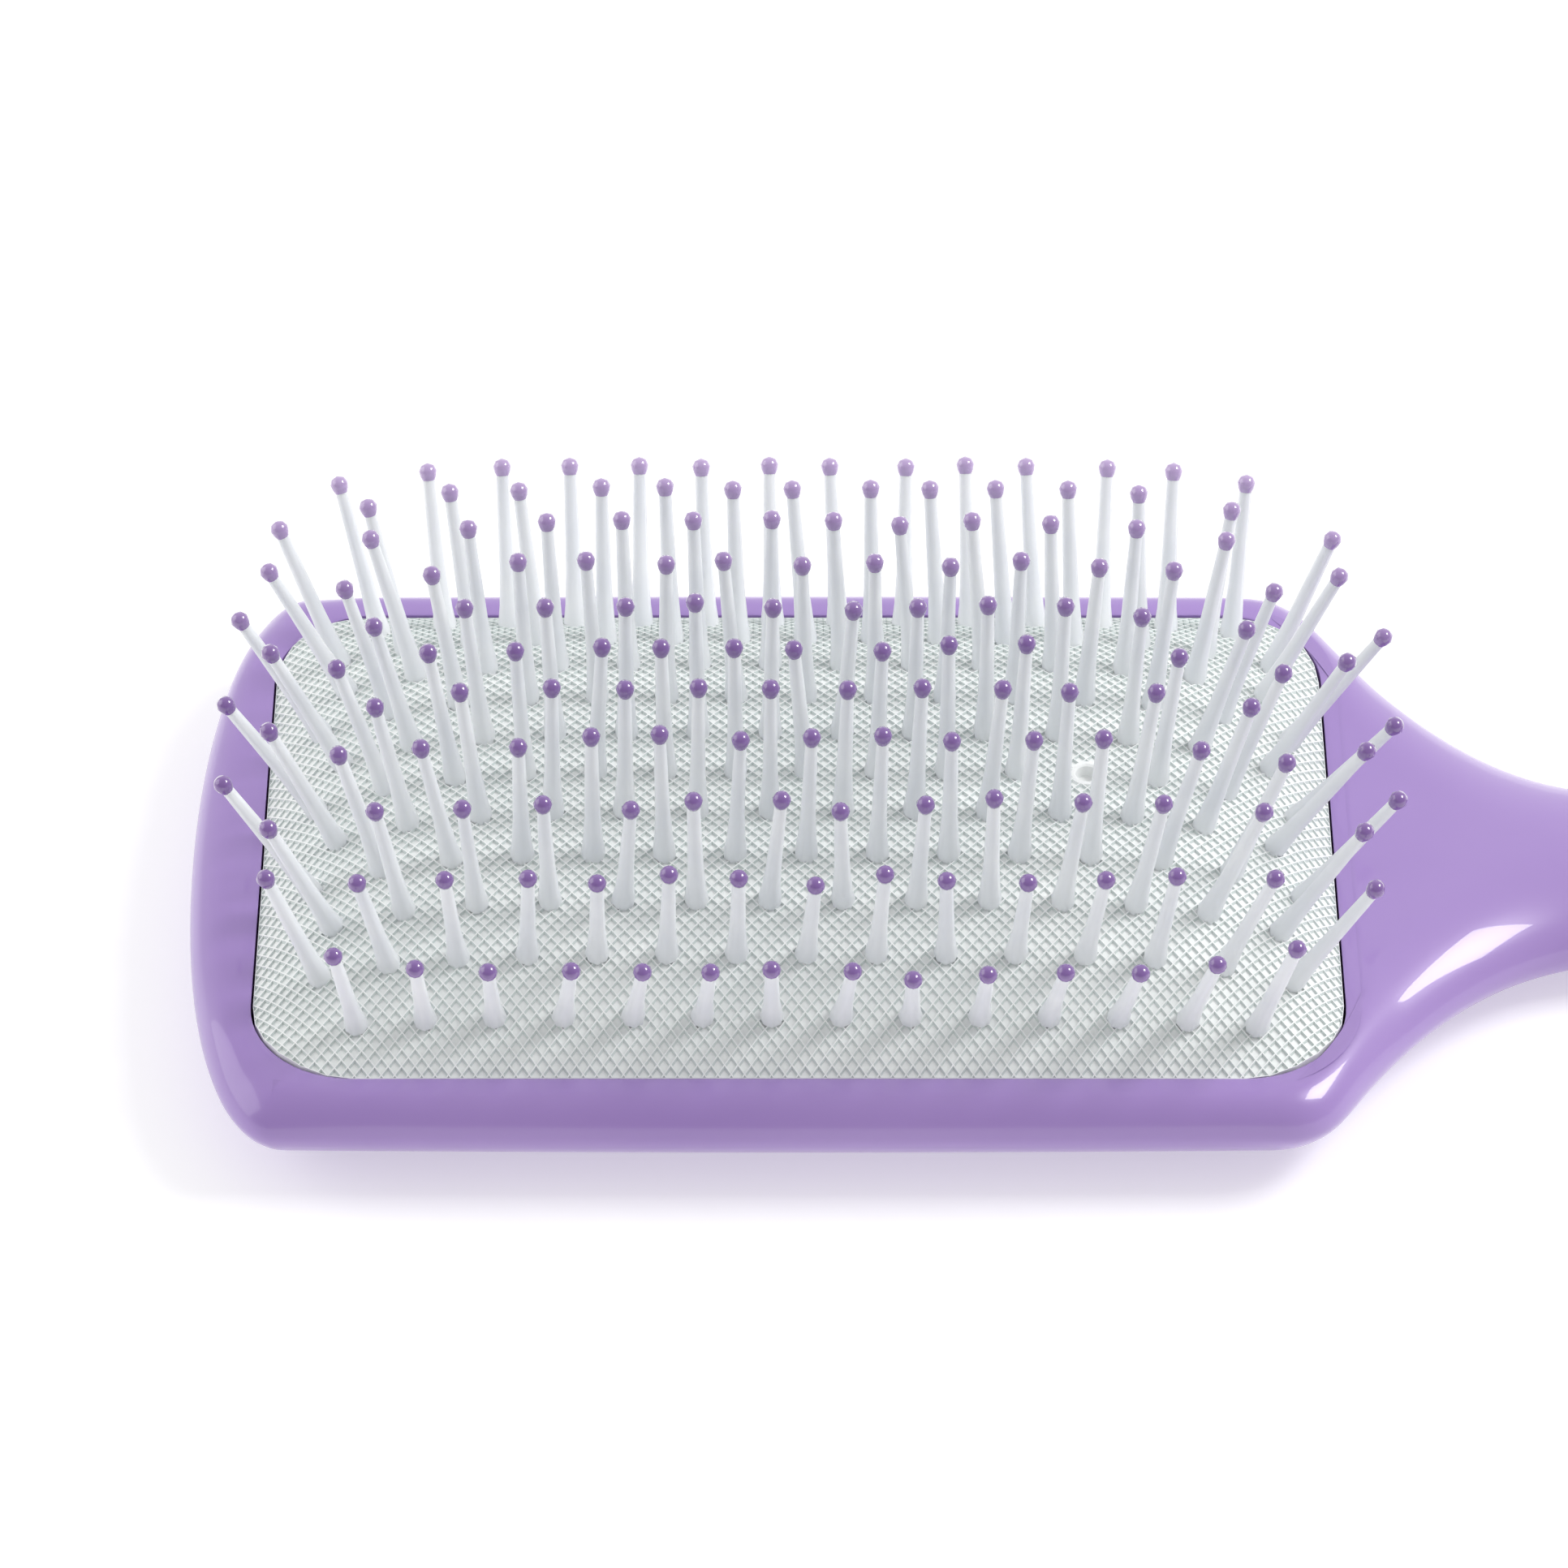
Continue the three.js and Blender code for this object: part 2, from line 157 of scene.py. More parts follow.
def add_bump(tree, shader, height, strength, distance):
    """A bump from a height socket into a shader's normal."""
    bump = add_node(tree, "ShaderNodeBump", Strength=strength, Distance=distance)
    tree.links.new(height, bump.inputs["Height"])
    tree.links.new(bump.outputs["Normal"], shader.inputs["Normal"])


# %% [markdown]
# ## Finishes
# The moulding is a lilac plastic with a clear, almost polished skin. A moulding is never
# perfectly even, so the colour drifts a little over several centimetres, and a very low bump
# makes long reflections waver. The rubber is matt and cool white; the steep sides of its net,
# marked by a face attribute, are darkened with painted shade, and the cell floors faintly. The
# nylon is a milky white that light enters a little. The ball tips are dipped in lilac lacquer,
# darker and glossier than the moulding, and the far rows are painted paler: painted light that
# stands for the brighter light falling on the rows at that side of the brush.

# %% Lilac moulding
def lilac_moulding():
    material, tree, shader = new_finish("lilac_moulding")
    drift = add_noise(tree, 22, 3)
    colour = add_ramp(
        tree, drift.outputs["Fac"], [(0.3, (0.33, 0.207, 0.53)), (0.7, (0.368, 0.24, 0.57))]
    )
    tree.links.new(colour, shader.inputs["Base Color"])
    shader.inputs["Roughness"].default_value = 0.3
    shader.inputs["Coat Weight"].default_value = 0.6
    shader.inputs["Coat Roughness"].default_value = 0.03
    shader.inputs["Subsurface Weight"].default_value = 0.08
    shader.inputs["Subsurface Radius"].default_value = (0.004, 0.003, 0.005)
    shader.inputs["Subsurface Scale"].default_value = 0.5
    waver = add_noise(tree, 60, 1)
    add_bump(tree, shader, waver.outputs["Fac"], 0.12, 0.0004)
    return material


LILAC = lilac_moulding()

# %% White rubber
def white_rubber():
    material, tree, shader = new_finish("white_rubber")
    tone = add_noise(tree, 70, 4)
    clean = add_ramp(
        tree, tone.outputs["Fac"], [(0.3, (0.93, 0.95, 0.945)), (0.7, (0.955, 0.965, 0.96))]
    )
    # Painted shade: the steep sides of the net's ridges, and faintly the cell floors, are darkened
    # as if in shadow.
    groove_shade = add_node(tree, "ShaderNodeAttribute", attribute_name="groove_shade")
    shade_tint = add_ramp(tree, groove_shade.outputs["Fac"], [(0, (1, 1, 1)), (1, (0.72, 0.765, 0.755))])
    shaded_rubber = add_node(tree, "ShaderNodeMix", data_type="RGBA", blend_type="MULTIPLY")
    shaded_rubber.inputs["Factor"].default_value = 1
    tree.links.new(clean, shaded_rubber.inputs[6])
    tree.links.new(shade_tint, shaded_rubber.inputs[7])
    tree.links.new(shaded_rubber.outputs[2], shader.inputs["Base Color"])
    shader.inputs["Roughness"].default_value = 0.62
    shader.inputs["Specular IOR Level"].default_value = 0.35
    grain = add_noise(tree, 3500, 2)
    add_bump(tree, shader, grain.outputs["Fac"], 0.15, 0.00005)
    return material


RUBBER = white_rubber()

# %% White nylon
def white_nylon():
    material, tree, shader = new_finish("white_nylon")
    tone = add_noise(tree, 120, 2)
    colour = add_ramp(
        tree, tone.outputs["Fac"], [(0.3, (0.80, 0.82, 0.85)), (0.7, (0.87, 0.885, 0.90))]
    )
    tree.links.new(colour, shader.inputs["Base Color"])
    shader.inputs["Roughness"].default_value = 0.38
    shader.inputs["Subsurface Weight"].default_value = 0.25
    shader.inputs["Subsurface Radius"].default_value = (0.0012, 0.0012, 0.0013)
    shader.inputs["Subsurface Scale"].default_value = 0.6
    grain = add_noise(tree, 1800, 2)
    add_bump(tree, shader, grain.outputs["Fac"], 0.08, 0.00003)
    return material


NYLON = white_nylon()

# %% Dipped lacquer
def dipped_lacquer():
    material, tree, shader = new_finish("dipped_lacquer")
    coordinates = add_node(tree, "ShaderNodeTexCoord")
    split = add_node(tree, "ShaderNodeSeparateXYZ")
    tree.links.new(coordinates.outputs["Object"], split.inputs["Vector"])
    # Painted light: the tips of the far rows are painted paler, for the brighter light that falls
    # on them, and the near rows deeper.
    far_row_light = add_node(tree, "ShaderNodeMapRange")
    far_row_light.inputs["From Min"].default_value = 0.002
    far_row_light.inputs["From Max"].default_value = 0.036
    tree.links.new(split.outputs["Y"], far_row_light.inputs["Value"])
    near_to_far_painted_light = [(0, (0.2, 0.098, 0.34)), (0.4, (0.33, 0.21, 0.47)), (1, (0.48, 0.35, 0.61))]
    colour = add_ramp(tree, far_row_light.outputs["Result"], near_to_far_painted_light)
    tree.links.new(colour, shader.inputs["Base Color"])
    shader.inputs["Roughness"].default_value = 0.22
    shader.inputs["Coat Weight"].default_value = 1.0
    shader.inputs["Coat Roughness"].default_value = 0.02
    shader.inputs["Coat IOR"].default_value = 1.6
    drips = add_noise(tree, 700, 1)
    add_bump(tree, shader, drips.outputs["Fac"], 0.1, 0.00005)
    return material


LACQUER = dipped_lacquer()

# %% White tray plastic
def tray_plastic():
    material, tree, shader = new_finish("tray_plastic")
    tone = add_noise(tree, 200, 2)
    colour = add_ramp(
        tree, tone.outputs["Fac"], [(0.3, (0.74, 0.76, 0.78)), (0.7, (0.82, 0.83, 0.84))]
    )
    tree.links.new(colour, shader.inputs["Base Color"])
    shader.inputs["Roughness"].default_value = 0.5
    add_bump(tree, shader, tone.outputs["Fac"], 0.1, 0.0001)
    return material


TRAY = tray_plastic()
print("finishes:", [m.name for m in (LILAC, RUBBER, NYLON, LACQUER, TRAY)])

# %% [markdown]
# ## The outline of head and handle
# Seen from above, the moulding is a rounded rectangle that runs through S-shaped shoulders
# into a slim handle. Half of that outline is six Bezier curves, and the other half is its
# mirror image. The window of the head, where the cushion shows, is a rounded rectangle.

# %% Outline of the moulding
LEFT_END = -62.5
HALF_WIDTH = 40.1
SHOULDER = 48
NECK = 80
NECK_HALF = 11.6
HANDLE_END = 185
HANDLE_END_RADIUS = 12
RIM_TOP = 11.4
HANDLE_TOP = 11.8

HALF_OUTLINE_CURVES = [
    [(LEFT_END, 0), (LEFT_END, 23.3), (-58.3, 39.7), (-52.5, 39.8), 44],
    [(-52.5, 39.8), (-15, 40.2), (15, 40.2), (46.5, 39.8), 40],
    [(46.5, 39.8), (51.6, 39.7), (53, 36.5), (55.2, 33), 24],
    [(55.2, 33), (60.2, 25.1), (69, 13.5), (NECK, NECK_HALF), 34],
    [(NECK, NECK_HALF), (92, 9.3), (104, 9.9), (120, 11.2), 30],
    [(120, 11.2), (136, 12.5), (HANDLE_END, 14.8), (HANDLE_END, 0), 44],
]


def half_outline():
    """The far half of the outline in millimetres, from the head's end to the handle's end."""
    points = [Vector((LEFT_END, 0))]
    for *corners, count in HALF_OUTLINE_CURVES:
        knots = [Vector(c) for c in corners]
        points += [p.to_2d() for p in interpolate_bezier(*knots, count)[1:]]
    return points


def whole_outline():
    """Points round the outline, each with the direction that leads inward."""
    far = half_outline()
    near = [Vector((p.x, -p.y)) for p in far[1:-1]]
    loop = near + far[::-1]
    inward = []
    for i in range(len(loop)):
        way = (loop[(i + 1) % len(loop)] - loop[i - 1]).normalized()
        inward.append(Vector((-way.y, way.x)))
    return list(zip(loop, inward))


OUTLINE = whole_outline()
print("outline points:", len(OUTLINE))

# %% Window of the head
WINDOW_CENTRE_X = -0.8
WINDOW_HALF_LENGTH = 54.4
WINDOW_HALF_WIDTH = 35
WINDOW_CORNER = 10.5


def window_outline(inset, per_corner=14):
    """The window's rounded rectangle in millimetres, drawn in by an inset."""
    radius = WINDOW_CORNER - inset
    reach = Vector((WINDOW_HALF_LENGTH, WINDOW_HALF_WIDTH)) - Vector((WINDOW_CORNER,) * 2)
    points = []
    for quarter, (sx, sy) in enumerate([(1, -1), (1, 1), (-1, 1), (-1, -1)]):
        for i in range(per_corner):
            angle = math.pi / 2 * (quarter - 1 + i / (per_corner - 1))
            x = WINDOW_CENTRE_X + sx * reach.x + radius * math.cos(angle)
            points.append((x, sy * reach.y + radius * math.sin(angle)))
    return points


# %% [markdown]
# ## The moulding
# Its rim is rounded over the edge all round the head, and the handle is rounded from its edge
# to its own centre line. Both come from one loop of edges at the widest level. The loop is
# extruded upward and downward in small steps, and each new ring is drawn inward along a
# quarter of an ellipse. `station` remembers which outline point a vertex belongs to, because
# an extrusion copies a vertex's own values to its new vertex. The window is a second loop: it
# dips softly over the inner edge of the rim and then drops to the floor of the recess.

# %% How wide the rim's rounding can be at each point
CROWN_WIDTH = 4.6
CROWN_HEIGHT = 3.8
WINDOW_DIP_WIDTH = 1.5
WINDOW_DIP_DEPTH = 0.15
LEAST_FLAT = 0.15


def room_beside_window(point):
    """Distance in millimetres from a point to the window's rounded rectangle."""
    past_x = abs(point.x - WINDOW_CENTRE_X) - WINDOW_HALF_LENGTH + WINDOW_CORNER
    past_y = abs(point.y) - WINDOW_HALF_WIDTH + WINDOW_CORNER
    return math.hypot(max(past_x, 0), max(past_y, 0)) - WINDOW_CORNER


def crown_width(point):
    """The rim's rounding, where the window leaves room for it."""
    return min(CROWN_WIDTH, room_beside_window(point) - WINDOW_DIP_WIDTH - LEAST_FLAT)


print("narrowest rounding:", round(min(crown_width(p) for p, _ in OUTLINE), 2), "mm")

# %% How far in and how high each ring lies
BACK_ROUND_WIDTH = 10.5
BACK_SHARE = BACK_ROUND_WIDTH / HALF_WIDTH
BACK_BEND = 1.25
BACK_MIDDLE_REACH = 30
FLAT_SHARE = 0.02


def ring_place(station, angle, upper):
    """Where an outline point lies after it is turned by an angle over the edge, in metres."""
    point, inward = OUTLINE[station]
    t = min(max((point.x - SHOULDER) / (NECK - SHOULDER), 0), 1)
    h = t * t * (3 - 2 * t)
    middle = Vector((min(max(point.x, -BACK_MIDDLE_REACH), BACK_MIDDLE_REACH), 0))
    on_head = inward * crown_width(point) if upper else (middle - point) * BACK_SHARE
    spine = Vector((min(point.x, HANDLE_END - HANDLE_END_RADIUS), 0))
    draw_in = on_head.lerp((spine - point) * (1 - FLAT_SHARE), h)
    bend = 1 if upper else BACK_BEND + (1 - BACK_BEND) * h
    place = point + draw_in * (1 - max(math.cos(angle), 0) ** bend)
    rise = math.sin(angle) ** bend
    top = RIM_TOP + (HANDLE_TOP - RIM_TOP) * h
    widest = (RIM_TOP - CROWN_HEIGHT) * (1 - h) + HANDLE_TOP / 2 * h
    z = widest + (top - widest) * rise if upper else widest * (1 - rise)
    return Vector((place.x, place.y, z)) * MM


# %% Extrude the rings of the moulding
RING_STEPS = 10
FLOOR = 3.9
DIP_STEPS = 6


def closed_loop(bm, station, places):
    """A loop of new edges through a list of places, with the vertices numbered."""
    verts = [bm.verts.new(place) for place in places]
    for number, vert in enumerate(verts):
        vert[station] = number
    return [bm.edges.new((verts[i - 1], vert)) for i, vert in enumerate(verts)]


def ring_edges(made):
    """The edges of a new ring, without the ones that join it to the ring before."""
    verts = set(only(made, bmesh.types.BMVert))
    return [e for e in only(made, bmesh.types.BMEdge) if set(e.verts) <= verts]


def rounded_skin(bm, station, edges, upper):
    """Extrudes the loop ring by ring over the edge, and returns the last ring's edges."""
    for step in range(1, RING_STEPS + 1):
        made = bmesh.ops.extrude_edge_only(bm, edges=edges)["geom"]
        angle = math.pi / 2 * step / RING_STEPS
        for vert in only(made, bmesh.types.BMVert):
            vert.co = ring_place(vert[station], angle, upper)
        edges = ring_edges(made)
    return edges


def window_loop(inset, height):
    """The places of one loop round the window."""
    return [Vector((x, y, height)) * MM for x, y in window_outline(inset)]


def window_skin(bm, station):
    """The window's soft inner edge and its wall, from the top loop to the floor's loop."""
    top = closed_loop(bm, station, window_loop(-WINDOW_DIP_WIDTH, RIM_TOP))
    edges = top
    levels = []
    for step in range(1, DIP_STEPS + 1):
        angle = math.pi / 2 * step / DIP_STEPS
        inset = -WINDOW_DIP_WIDTH * (1 - math.sin(angle))
        levels.append((inset, RIM_TOP - WINDOW_DIP_DEPTH * (1 - math.cos(angle))))
    for inset, height in [*levels, (0, FLOOR)]:
        places = window_loop(inset, height)
        made = bmesh.ops.extrude_edge_only(bm, edges=edges)["geom"]
        for vert in only(made, bmesh.types.BMVert):
            vert.co = places[vert[station]]
        edges = ring_edges(made)
    return top, edges


def make_moulding():
    bm = bmesh.new()
    station = bm.verts.layers.int.new("station")
    places = [ring_place(i, 0, True) for i in range(len(OUTLINE))]
    widest = closed_loop(bm, station, places)
    rim_top = rounded_skin(bm, station, widest, True)
    back_flat = rounded_skin(bm, station, widest, False)
    window_top, floor_loop = window_skin(bm, station)
    bmesh.ops.triangle_fill(bm, edges=rim_top + window_top, use_beauty=True)
    bmesh.ops.triangle_fill(bm, edges=back_flat, use_beauty=True)
    bmesh.ops.contextual_create(bm, geom=floor_loop)
    bmesh.ops.recalc_face_normals(bm, faces=bm.faces)
    open_edges = sum(not edge.is_manifold for edge in bm.edges)
    print("moulding: open edges", open_edges)
    return finish_piece("moulded_head_and_handle", bm, LILAC)


moulding = make_moulding()
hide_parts("body_frame_and_handle")
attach(moulding, "frame")

# %% [markdown]
# ## The cushion's dome
# The cushion is stretched over its tray and blown up a little, so it is flat in the middle and
# falls ever more steeply towards its edge. One formula gives its height, and the same formula
# gives the way each pin points.

# %% Height and slope of the dome
PAD_EDGE_BELOW_RIM = 0.5
PAD_EDGE = RIM_TOP - PAD_EDGE_BELOW_RIM
PAD_DOME = 9.7
DOME_POWER_X = 5.45
DOME_POWER_Y = 3.1


def dome_at(x, y):
    """Height of the cushion over its own edge, in millimetres."""
    u = min(abs(x - WINDOW_CENTRE_X) / WINDOW_HALF_LENGTH, 1)
    v = min(abs(y) / WINDOW_HALF_WIDTH, 1)
    return PAD_DOME * (1 - u**DOME_POWER_X) * (1 - v**DOME_POWER_Y)


def slope_at(x, y, step=0.05):
    """How fast the dome rises along X and along Y."""
    along_x = (dome_at(x + step, y) - dome_at(x - step, y)) / (2 * step)
    along_y = (dome_at(x, y + step) - dome_at(x, y - step)) / (2 * step)
    return along_x, along_y


# %% Where the pins stand
ROWS = 11
ROW_PITCH = 5.942
PIN_PITCH = 7.086
ODD_SPREAD = 1.026
EDGE_SQUEEZE = {0: 0.94, 1: 0.973}
LEAN_GAIN_X = 0.957
LEAN_GAIN_Y = 1.02
FAR_ROW_LEAN = 0.0018
VENT = (6, 12)


def pins_of_row(row):
    """(place, foot, direction) of each pin of a row, in millimetres."""
    count = 14 if row % 2 else 15
    spread = EDGE_SQUEEZE.get(min(row - 1, ROWS - row), 1) * (ODD_SPREAD if row % 2 else 1)
    y = (row - (ROWS + 1) / 2) * ROW_PITCH
    pins = []
    for i in range(count):
        x = (i - (count - 1) / 2) * PIN_PITCH * spread
        slope_x, slope_y = slope_at(x, y)
        lean_x = math.tan(math.atan(slope_x) * LEAN_GAIN_X + FAR_ROW_LEAN * y)
        lean_y = math.tan(math.atan(slope_y) * LEAN_GAIN_Y)
        way = Vector((-lean_x, -lean_y, 1)).normalized()
        pins.append((i + 1, Vector((x, y, PAD_EDGE + dome_at(x, y))), way))
    return pins


PLACES = {(row, pin[0]): pin for row in range(1, ROWS + 1) for pin in pins_of_row(row)}
vent_foot = PLACES.pop(VENT)[1]
print("pins:", len(PLACES), "vent at", [round(v, 1) for v in vent_foot])

# %% [markdown]
# ## The rubber cushion
# Its face carries a net of fine ridges in a square pattern that stands on its corners. The
# net is real geometry: a grid is turned by 45 degrees, cut to the window's outline, and each
# small square is inset twice, once for the flat top of the ridge and once for its side. Every
# vertex is then lifted onto the dome. The rubber sinks a little round each pin, where the foot
# pulls on it. The border is extruded down as the skirt, and an inner skin is bridged to it, so
# the cushion is a closed hollow shell. The body it rides on moves down as it is pressed.

# %% Cut a grid to the window's shape
NET_PITCH = 0.96
NET_STRETCH = Matrix.Diagonal((0.975, 1.08, 1, 1))
PAD_GAP = 0.22


def cut_to_window(bm, inset):
    """Cuts away what lies outside the window's outline, drawn in by an inset."""
    outline = window_outline(inset, per_corner=7)
    for (x0, y0), (x1, y1) in zip(outline, outline[1:] + outline[:1]):
        outward = Vector((y1 - y0, x0 - x1, 0)).normalized()
        bmesh.ops.bisect_plane(
            bm,
            geom=bm.verts[:] + bm.edges[:] + bm.faces[:],
            dist=1e-7,
            plane_co=Vector((x0, y0, 0)) * MM,
            plane_no=outward,
            clear_outer=True,
        )


def flat_sheet(cell, turn, inset):
    """A flat grid of square cells, turned about Z and cut to the window's outline."""
    bm = bmesh.new()
    half = math.hypot(WINDOW_HALF_LENGTH, WINDOW_HALF_WIDTH) + cell
    cells = math.ceil(2 * half / cell)
    to_window = Matrix.Translation((WINDOW_CENTRE_X * MM, 0, 0))
    move = to_window @ NET_STRETCH @ Matrix.Rotation(turn, 4, "Z")
    bmesh.ops.create_grid(
        bm, x_segments=cells, y_segments=cells, size=cells * cell / 2 * MM, matrix=move
    )
    cut_to_window(bm, inset)
    return bm


# %% Press the net into the sheet and lift it onto the dome
RIDGE_TOP = 0.055
RIDGE_SIDE = 0.09
RIDGE_HEIGHT = 0.3
DIMPLE_DEPTH = 0.28
DIMPLE_REACH = 2.3
VENT_RADIUS = 1.2
VENT_MARGIN = 0.25
VENT_DEPTH = 2.5
# How much painted shade the sides of the ridges and the cell floors get.
GROOVE_SIDE_SHADE = 1.0
CELL_FLOOR_SHADE = 0.05


def dimple_at(x, y, feet):
    """How far the rubber is drawn down round the nearest pin's foot."""
    nearest = min(((x - f.x) ** 2 + (y - f.y) ** 2 for f in feet), default=1e6)
    return DIMPLE_DEPTH * math.exp(-nearest / (DIMPLE_REACH / 1.6) ** 2)


def feet_by_column(width=PIN_PITCH):
    """The pins' feet sorted into strips along X, so that only near ones are compared."""
    columns = {}
    for _, foot, _ in PLACES.values():
        for k in (-1, 0, 1):
            columns.setdefault(round(foot.x / width) + k, []).append(foot)
    return columns


def make_cushion():
    bm = flat_sheet(NET_PITCH, math.pi / 4, PAD_GAP)
    groove_shade = bm.faces.layers.float.new("groove_shade")
    cells = bm.faces[:]
    bmesh.ops.inset_individual(bm, faces=cells, thickness=RIDGE_TOP * MM, use_even_offset=True)
    sides = bmesh.ops.inset_individual(
        bm, faces=cells, thickness=RIDGE_SIDE * MM, depth=-RIDGE_HEIGHT * MM, use_even_offset=True
    )["faces"]
    # The sides of the ridges carry painted shade, and the cell floors a trace of it.
    for face in sides:
        face[groove_shade] = GROOVE_SIDE_SHADE
    for face in cells:
        face[groove_shade] = CELL_FLOOR_SHADE
    columns = feet_by_column()
    for vert in bm.verts:
        x, y = vert.co.x / MM, vert.co.y / MM
        sink = dimple_at(x, y, columns.get(round(x / PIN_PITCH), []))
        if math.hypot(x - vent_foot.x, y - vent_foot.y) < VENT_RADIUS + VENT_MARGIN:
            sink += VENT_DEPTH
        vert.co.z += (PAD_EDGE + dome_at(x, y) - sink) * MM
    return bm


cushion_face = make_cushion()
print("cushion's face:", len(cushion_face.faces), "faces")

# %% Skirt and inner skin
SKIN = 1.2
LIP_THICKNESS = 1
SKIN_CELL = 4.0
SKIN_RISE = 0.985


def skirt_down(bm, height):
    """Extrudes the sheet's border straight down to a height in metres."""
    border = [e for e in bm.edges if e.is_boundary]
    made = bmesh.ops.extrude_edge_only(bm, edges=border)["geom"]
    for vert in only(made, bmesh.types.BMVert):
        vert.co.z = height
    return ring_edges(made)


def add_inner_skin(bm):
    """The underside of the rubber, joined to the skirt round the lip under the tray."""
    inner = flat_sheet(SKIN_CELL, 0, PAD_GAP + SKIN)
    for vert in inner.verts:
        x, y = vert.co.x / MM, vert.co.y / MM
        vert.co.z = (PAD_EDGE - SKIN + dome_at(x, y) * SKIN_RISE) * MM
    skirt_down(inner, pad_low.z + LIP_THICKNESS * MM)
    bmesh.ops.reverse_faces(inner, faces=inner.faces[:])
    patch = bpy.data.meshes.new("inner_skin")
    inner.to_mesh(patch)
    inner.free()
    known = set(bm.verts)
    bm.from_mesh(patch)
    return [e for e in bm.edges if e.is_boundary and e.verts[0] not in known]


outer_border = skirt_down(cushion_face, pad_low.z)
inner_border = add_inner_skin(cushion_face)
bmesh.ops.bridge_loops(cushion_face, edges=outer_border + inner_border)
print("cushion with its skirt and inner skin:", len(cushion_face.faces), "faces")

# %% Vent lip, as (radius, height over the rubber) in millimetres
LIP_PROFILE = [(1.9, -0.25), (1.75, 0.04), (1.35, 0.06), (1.15, -0.1), (1.1, -2.3), (1.4, -2.3)]
LIP_SEGMENTS = 28


def add_vent_lip(bm):
    """The vent's round lip and wall, a closed ring spun round the hole's axis."""
    centre = vent_foot * MM
    verts = [bm.verts.new(centre + Vector((r, 0, z)) * MM) for r, z in LIP_PROFILE]
    edges = [bm.edges.new(pair) for pair in zip(verts, verts[1:] + verts[:1])]
    known = set(bm.faces)
    bmesh.ops.spin(
        bm,
        geom=verts + edges,
        cent=centre,
        axis=(0, 0, 1),
        angle=2 * math.pi,
        steps=LIP_SEGMENTS,
        use_merge=True,
    )
    ring = [face for face in bm.faces if face not in known]
    bmesh.ops.recalc_face_normals(bm, faces=ring)


add_vent_lip(cushion_face)
open_edges = sum(not edge.is_manifold for edge in cushion_face.edges)
print("cushion: open edges", open_edges, "faces", len(cushion_face.faces))

# %% Make the cushion a piece in place of the CAD pad, on the cushion's body
cushion = finish_piece("rubber_cushion", cushion_face, RUBBER, math.radians(20))
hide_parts("cushion_pad")
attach(cushion, "cushion")
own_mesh(cushion)

# %% [markdown]
# ## The pins
# Each pin is a turned shape: a foot under the rubber, a trumpet-like base, a slim tapering
# shaft and a ball. A profile is spun once, and copies of it are turned along each pin's own
# direction. The lacquer is a second, thinner shell on the ball, with a collar where the dip
# ended. No two pins stand quite alike, so each gets a small lean of its own, from a seeded
# draw. A row is one piece, because a row tilts together.

# %% Turned profiles, as (radius, distance over the rubber) in millimetres
PIN_LENGTH = 17.4
BALL = 0.95
BALL_CENTRE = PIN_LENGTH - BALL
PIN_SEGMENTS = 8
PIN_PROFILE = [
    (0, -2.4),
    (1.5, -2.3),
    (1.05, -1.5),
    (1.24, 0.15),
    (1.02, 1.9),
    (0.82, 5.5),
    (0.64, BALL_CENTRE - 0.5),
]
DIP_SEGMENTS = 12
DIP_PROFILE = [
    (0.66, BALL_CENTRE - 0.85),
    *((BALL * math.cos(a), BALL_CENTRE + BALL * math.sin(a)) for a in (-0.5, 0.15, 0.8)),
    (0, PIN_LENGTH),
]


def turned_mesh(name, profile, segments):
    """Spins a profile about Z into a mesh that the pins share."""
    bm = bmesh.new()
    verts = [bm.verts.new(Vector((r, 0, s)) * MM) for r, s in profile]
    edges = [bm.edges.new(pair) for pair in zip(verts, verts[1:])]
    bmesh.ops.spin(
        bm,
        geom=verts + edges,
        cent=(0, 0, 0),
        axis=(0, 0, 1),
        angle=2 * math.pi,
        steps=segments,
        use_merge=True,
    )
    bmesh.ops.remove_doubles(bm, verts=bm.verts, dist=1e-7)
    bmesh.ops.holes_fill(bm, edges=[e for e in bm.edges if e.is_boundary], sides=0)
    bmesh.ops.recalc_face_normals(bm, faces=bm.faces)
    mesh = bpy.data.meshes.new(name)
    bm.to_mesh(mesh)
    bm.free()
    print(name, "has", len(mesh.polygons), "faces")
    return mesh


PIN_SHAPE = turned_mesh("pin_shape", PIN_PROFILE, PIN_SEGMENTS)
DIP_SHAPE = turned_mesh("dip_shape", DIP_PROFILE, DIP_SEGMENTS)

# %% Set the pins row by row
LEAN_SPREAD = math.radians(1.6)
draw = random.Random(7)


def own_lean(way):
    """A pin's direction with a small lean of its own."""
    return (way + Vector((draw.gauss(0, 1), draw.gauss(0, 1), 0)) * LEAN_SPREAD).normalized()


STANCES = {
    key: Matrix.Translation(foot * MM) @ own_lean(way).to_track_quat("Z", "Y").to_matrix().to_4x4()
    for key, (_, foot, way) in PLACES.items()
}


def row_piece(name, row, shape, material):
    """Copies of a turned shape at each pin of a row, as one piece."""
    bm = bmesh.new()
    for (pin_row, _), stance in STANCES.items():
        if pin_row == row:
            known = set(bm.verts)
            bm.from_mesh(shape)
            new = [v for v in bm.verts if v not in known]
            bmesh.ops.transform(bm, matrix=stance, verts=new)
    piece = finish_piece(name, bm, material)
    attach(piece, f"pin_row_{row:02d}")
    return piece


for row in range(1, ROWS + 1):
    pins = row_piece(f"nylon_pins_{row:02d}", row, PIN_SHAPE, NYLON)
    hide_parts(f"pin_row_{row:02d}_left", f"pin_row_{row:02d}_right")
    row_piece(f"dipped_tips_{row:02d}", row, DIP_SHAPE, LACQUER)

# %% [markdown]
# ## The tray
# The tray's CAD solid already has the right shape, and only gets its finish.

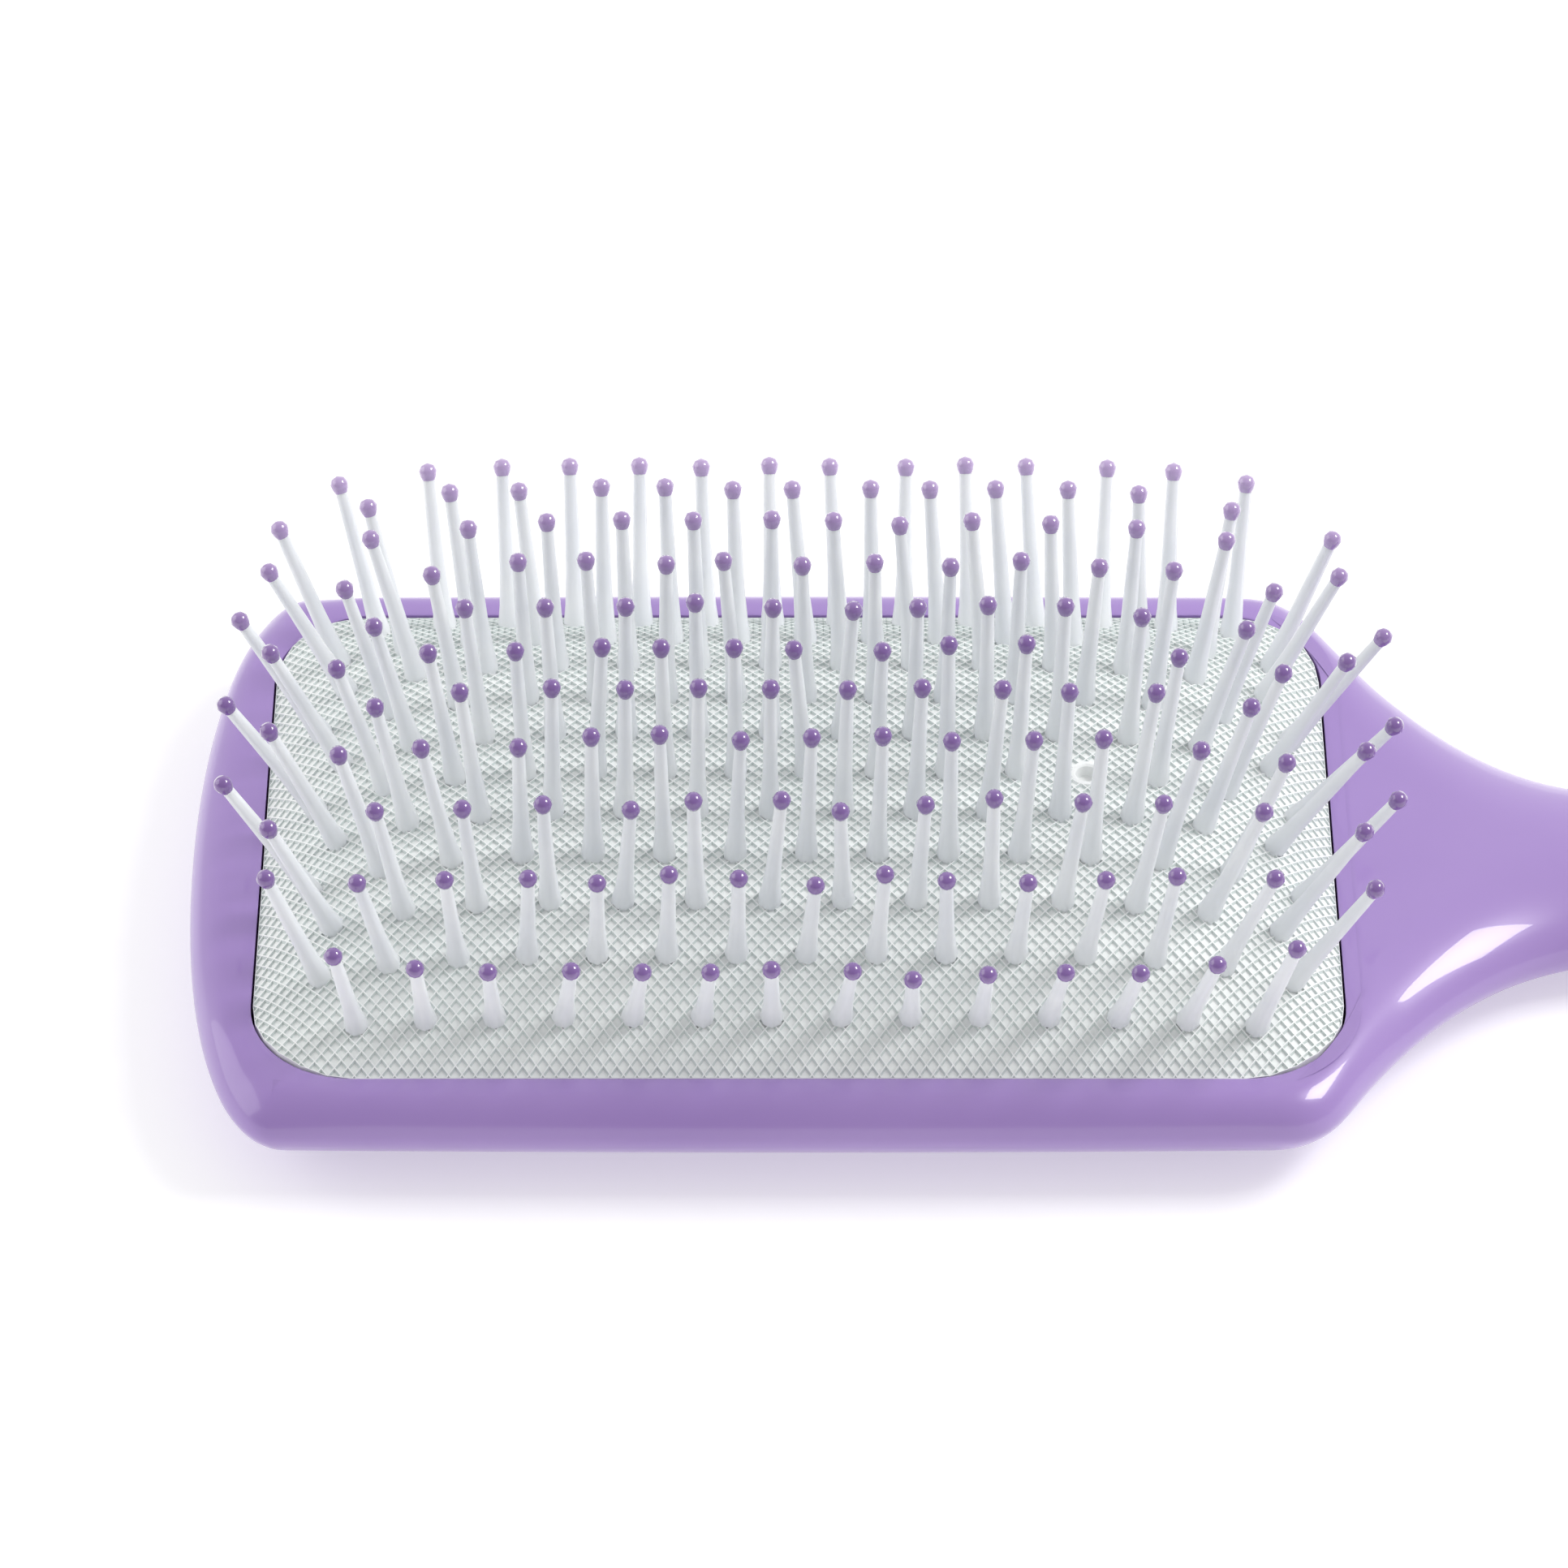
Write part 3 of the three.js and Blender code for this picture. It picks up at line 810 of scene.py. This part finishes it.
# %% Tray
for slot in bpy.data.objects["cushion_tray"].material_slots:
    slot.material = TRAY

# %% [markdown]
# ## Floor and light
# The brush lies on a plain pale sheet that fades into the background. A compact softbox stands
# to the right and overhead: it draws the long highlight on the neck, and puts the glint on the
# upper right of each ball. A large dim softbox on the left lights the far end of the rim. The
# white surroundings fill the shadows, and are a little brighter behind the brush.

# %% Floor
def make_floor():
    bm = bmesh.new()
    bmesh.ops.create_grid(bm, x_segments=1, y_segments=1, size=4)
    material, tree, shader = new_finish("pale_floor")
    tone = add_noise(tree, 3, 2)
    greys = [(0.3, (0.7, 0.7, 0.7)), (0.7, (0.72, 0.72, 0.72))]
    colour = add_ramp(tree, tone.outputs["Fac"], greys)
    tree.links.new(colour, shader.inputs["Base Color"])
    shader.inputs["Roughness"].default_value = 0.9
    shader.inputs["Emission Color"].default_value = (1, 1, 1, 1)
    shader.inputs["Emission Strength"].default_value = 0.42
    floor = finish_piece("floor", bm, material)
    for vert in floor.data.vertices:
        vert.co.z = body_low.z - 0.0002


make_floor()

# %% Lights
def softbox(name, direction, distance, size, power):
    """A rectangular light that faces the head from a direction."""
    light = bpy.data.lights.new(name, "AREA")
    light.shape = "RECTANGLE"
    light.size, light.size_y = size
    light.energy = power
    box = bpy.data.objects.new(name, light)
    towards = Vector(direction).normalized()
    box.location = towards * distance
    box.rotation_euler = towards.to_track_quat("Z", "Y").to_euler()
    bpy.context.scene.collection.objects.link(box)
    print(name, [round(v, 2) for v in box.location])


softbox("key_softbox", (0.66, 0.11, 0.74), 1.1, (0.44, 0.34), 6.4)
softbox("left_fill", (-0.9, 0.15, 0.42), 1.8, (1.8, 1.4), 11)

# %% Surroundings that are dim in front of the brush and bright behind it
SURROUNDINGS = 0.66
FRONT_TO_BACK = 0.26

world = bpy.data.worlds.new("studio_surroundings")
world.use_nodes = True
tree = world.node_tree
direction = add_node(tree, "ShaderNodeTexCoord")
split = add_node(tree, "ShaderNodeSeparateXYZ")
tree.links.new(direction.outputs["Generated"], split.inputs["Vector"])
brightness = add_node(tree, "ShaderNodeMath", operation="MULTIPLY_ADD")
brightness.inputs[1].default_value = FRONT_TO_BACK
brightness.inputs[2].default_value = SURROUNDINGS
tree.links.new(split.outputs["Y"], brightness.inputs[0])
tree.links.new(brightness.outputs["Value"], tree.nodes["Background"].inputs["Strength"])
tree.nodes["Background"].inputs["Color"].default_value = (1, 1, 1, 1)
bpy.context.scene.world = world
bpy.context.scene.view_settings.view_transform = "Standard"
